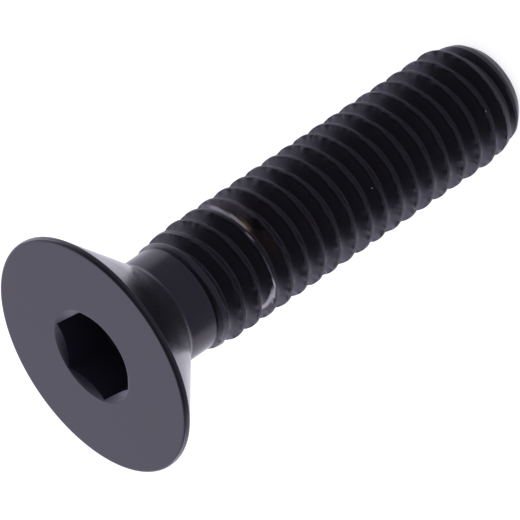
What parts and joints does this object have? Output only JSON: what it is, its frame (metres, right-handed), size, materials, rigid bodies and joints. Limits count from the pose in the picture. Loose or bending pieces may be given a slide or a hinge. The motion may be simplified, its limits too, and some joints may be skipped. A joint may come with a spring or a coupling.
{
  "type": "countersunk socket screw",
  "caption": "Countersunk screw with a 90 degree head, hexagon socket, short plain neck, metric rolled thread and chamfered point, black oxide steel.",
  "frame": {"origin": "centre of the flat of the point, on the surface the screw stands on", "axes": "+Z along the screw's axis, from the point to the head; +X towards a corner of the hexagon socket"},
  "size_m": [0.0118, 0.0118, 0.025],
  "materials": {
    "black_steel": "matte black oxide over rolled and forged alloy steel"
  },
  "bodies": {
    "root": {"screw": "black_steel"}
  },
  "joints": []
}
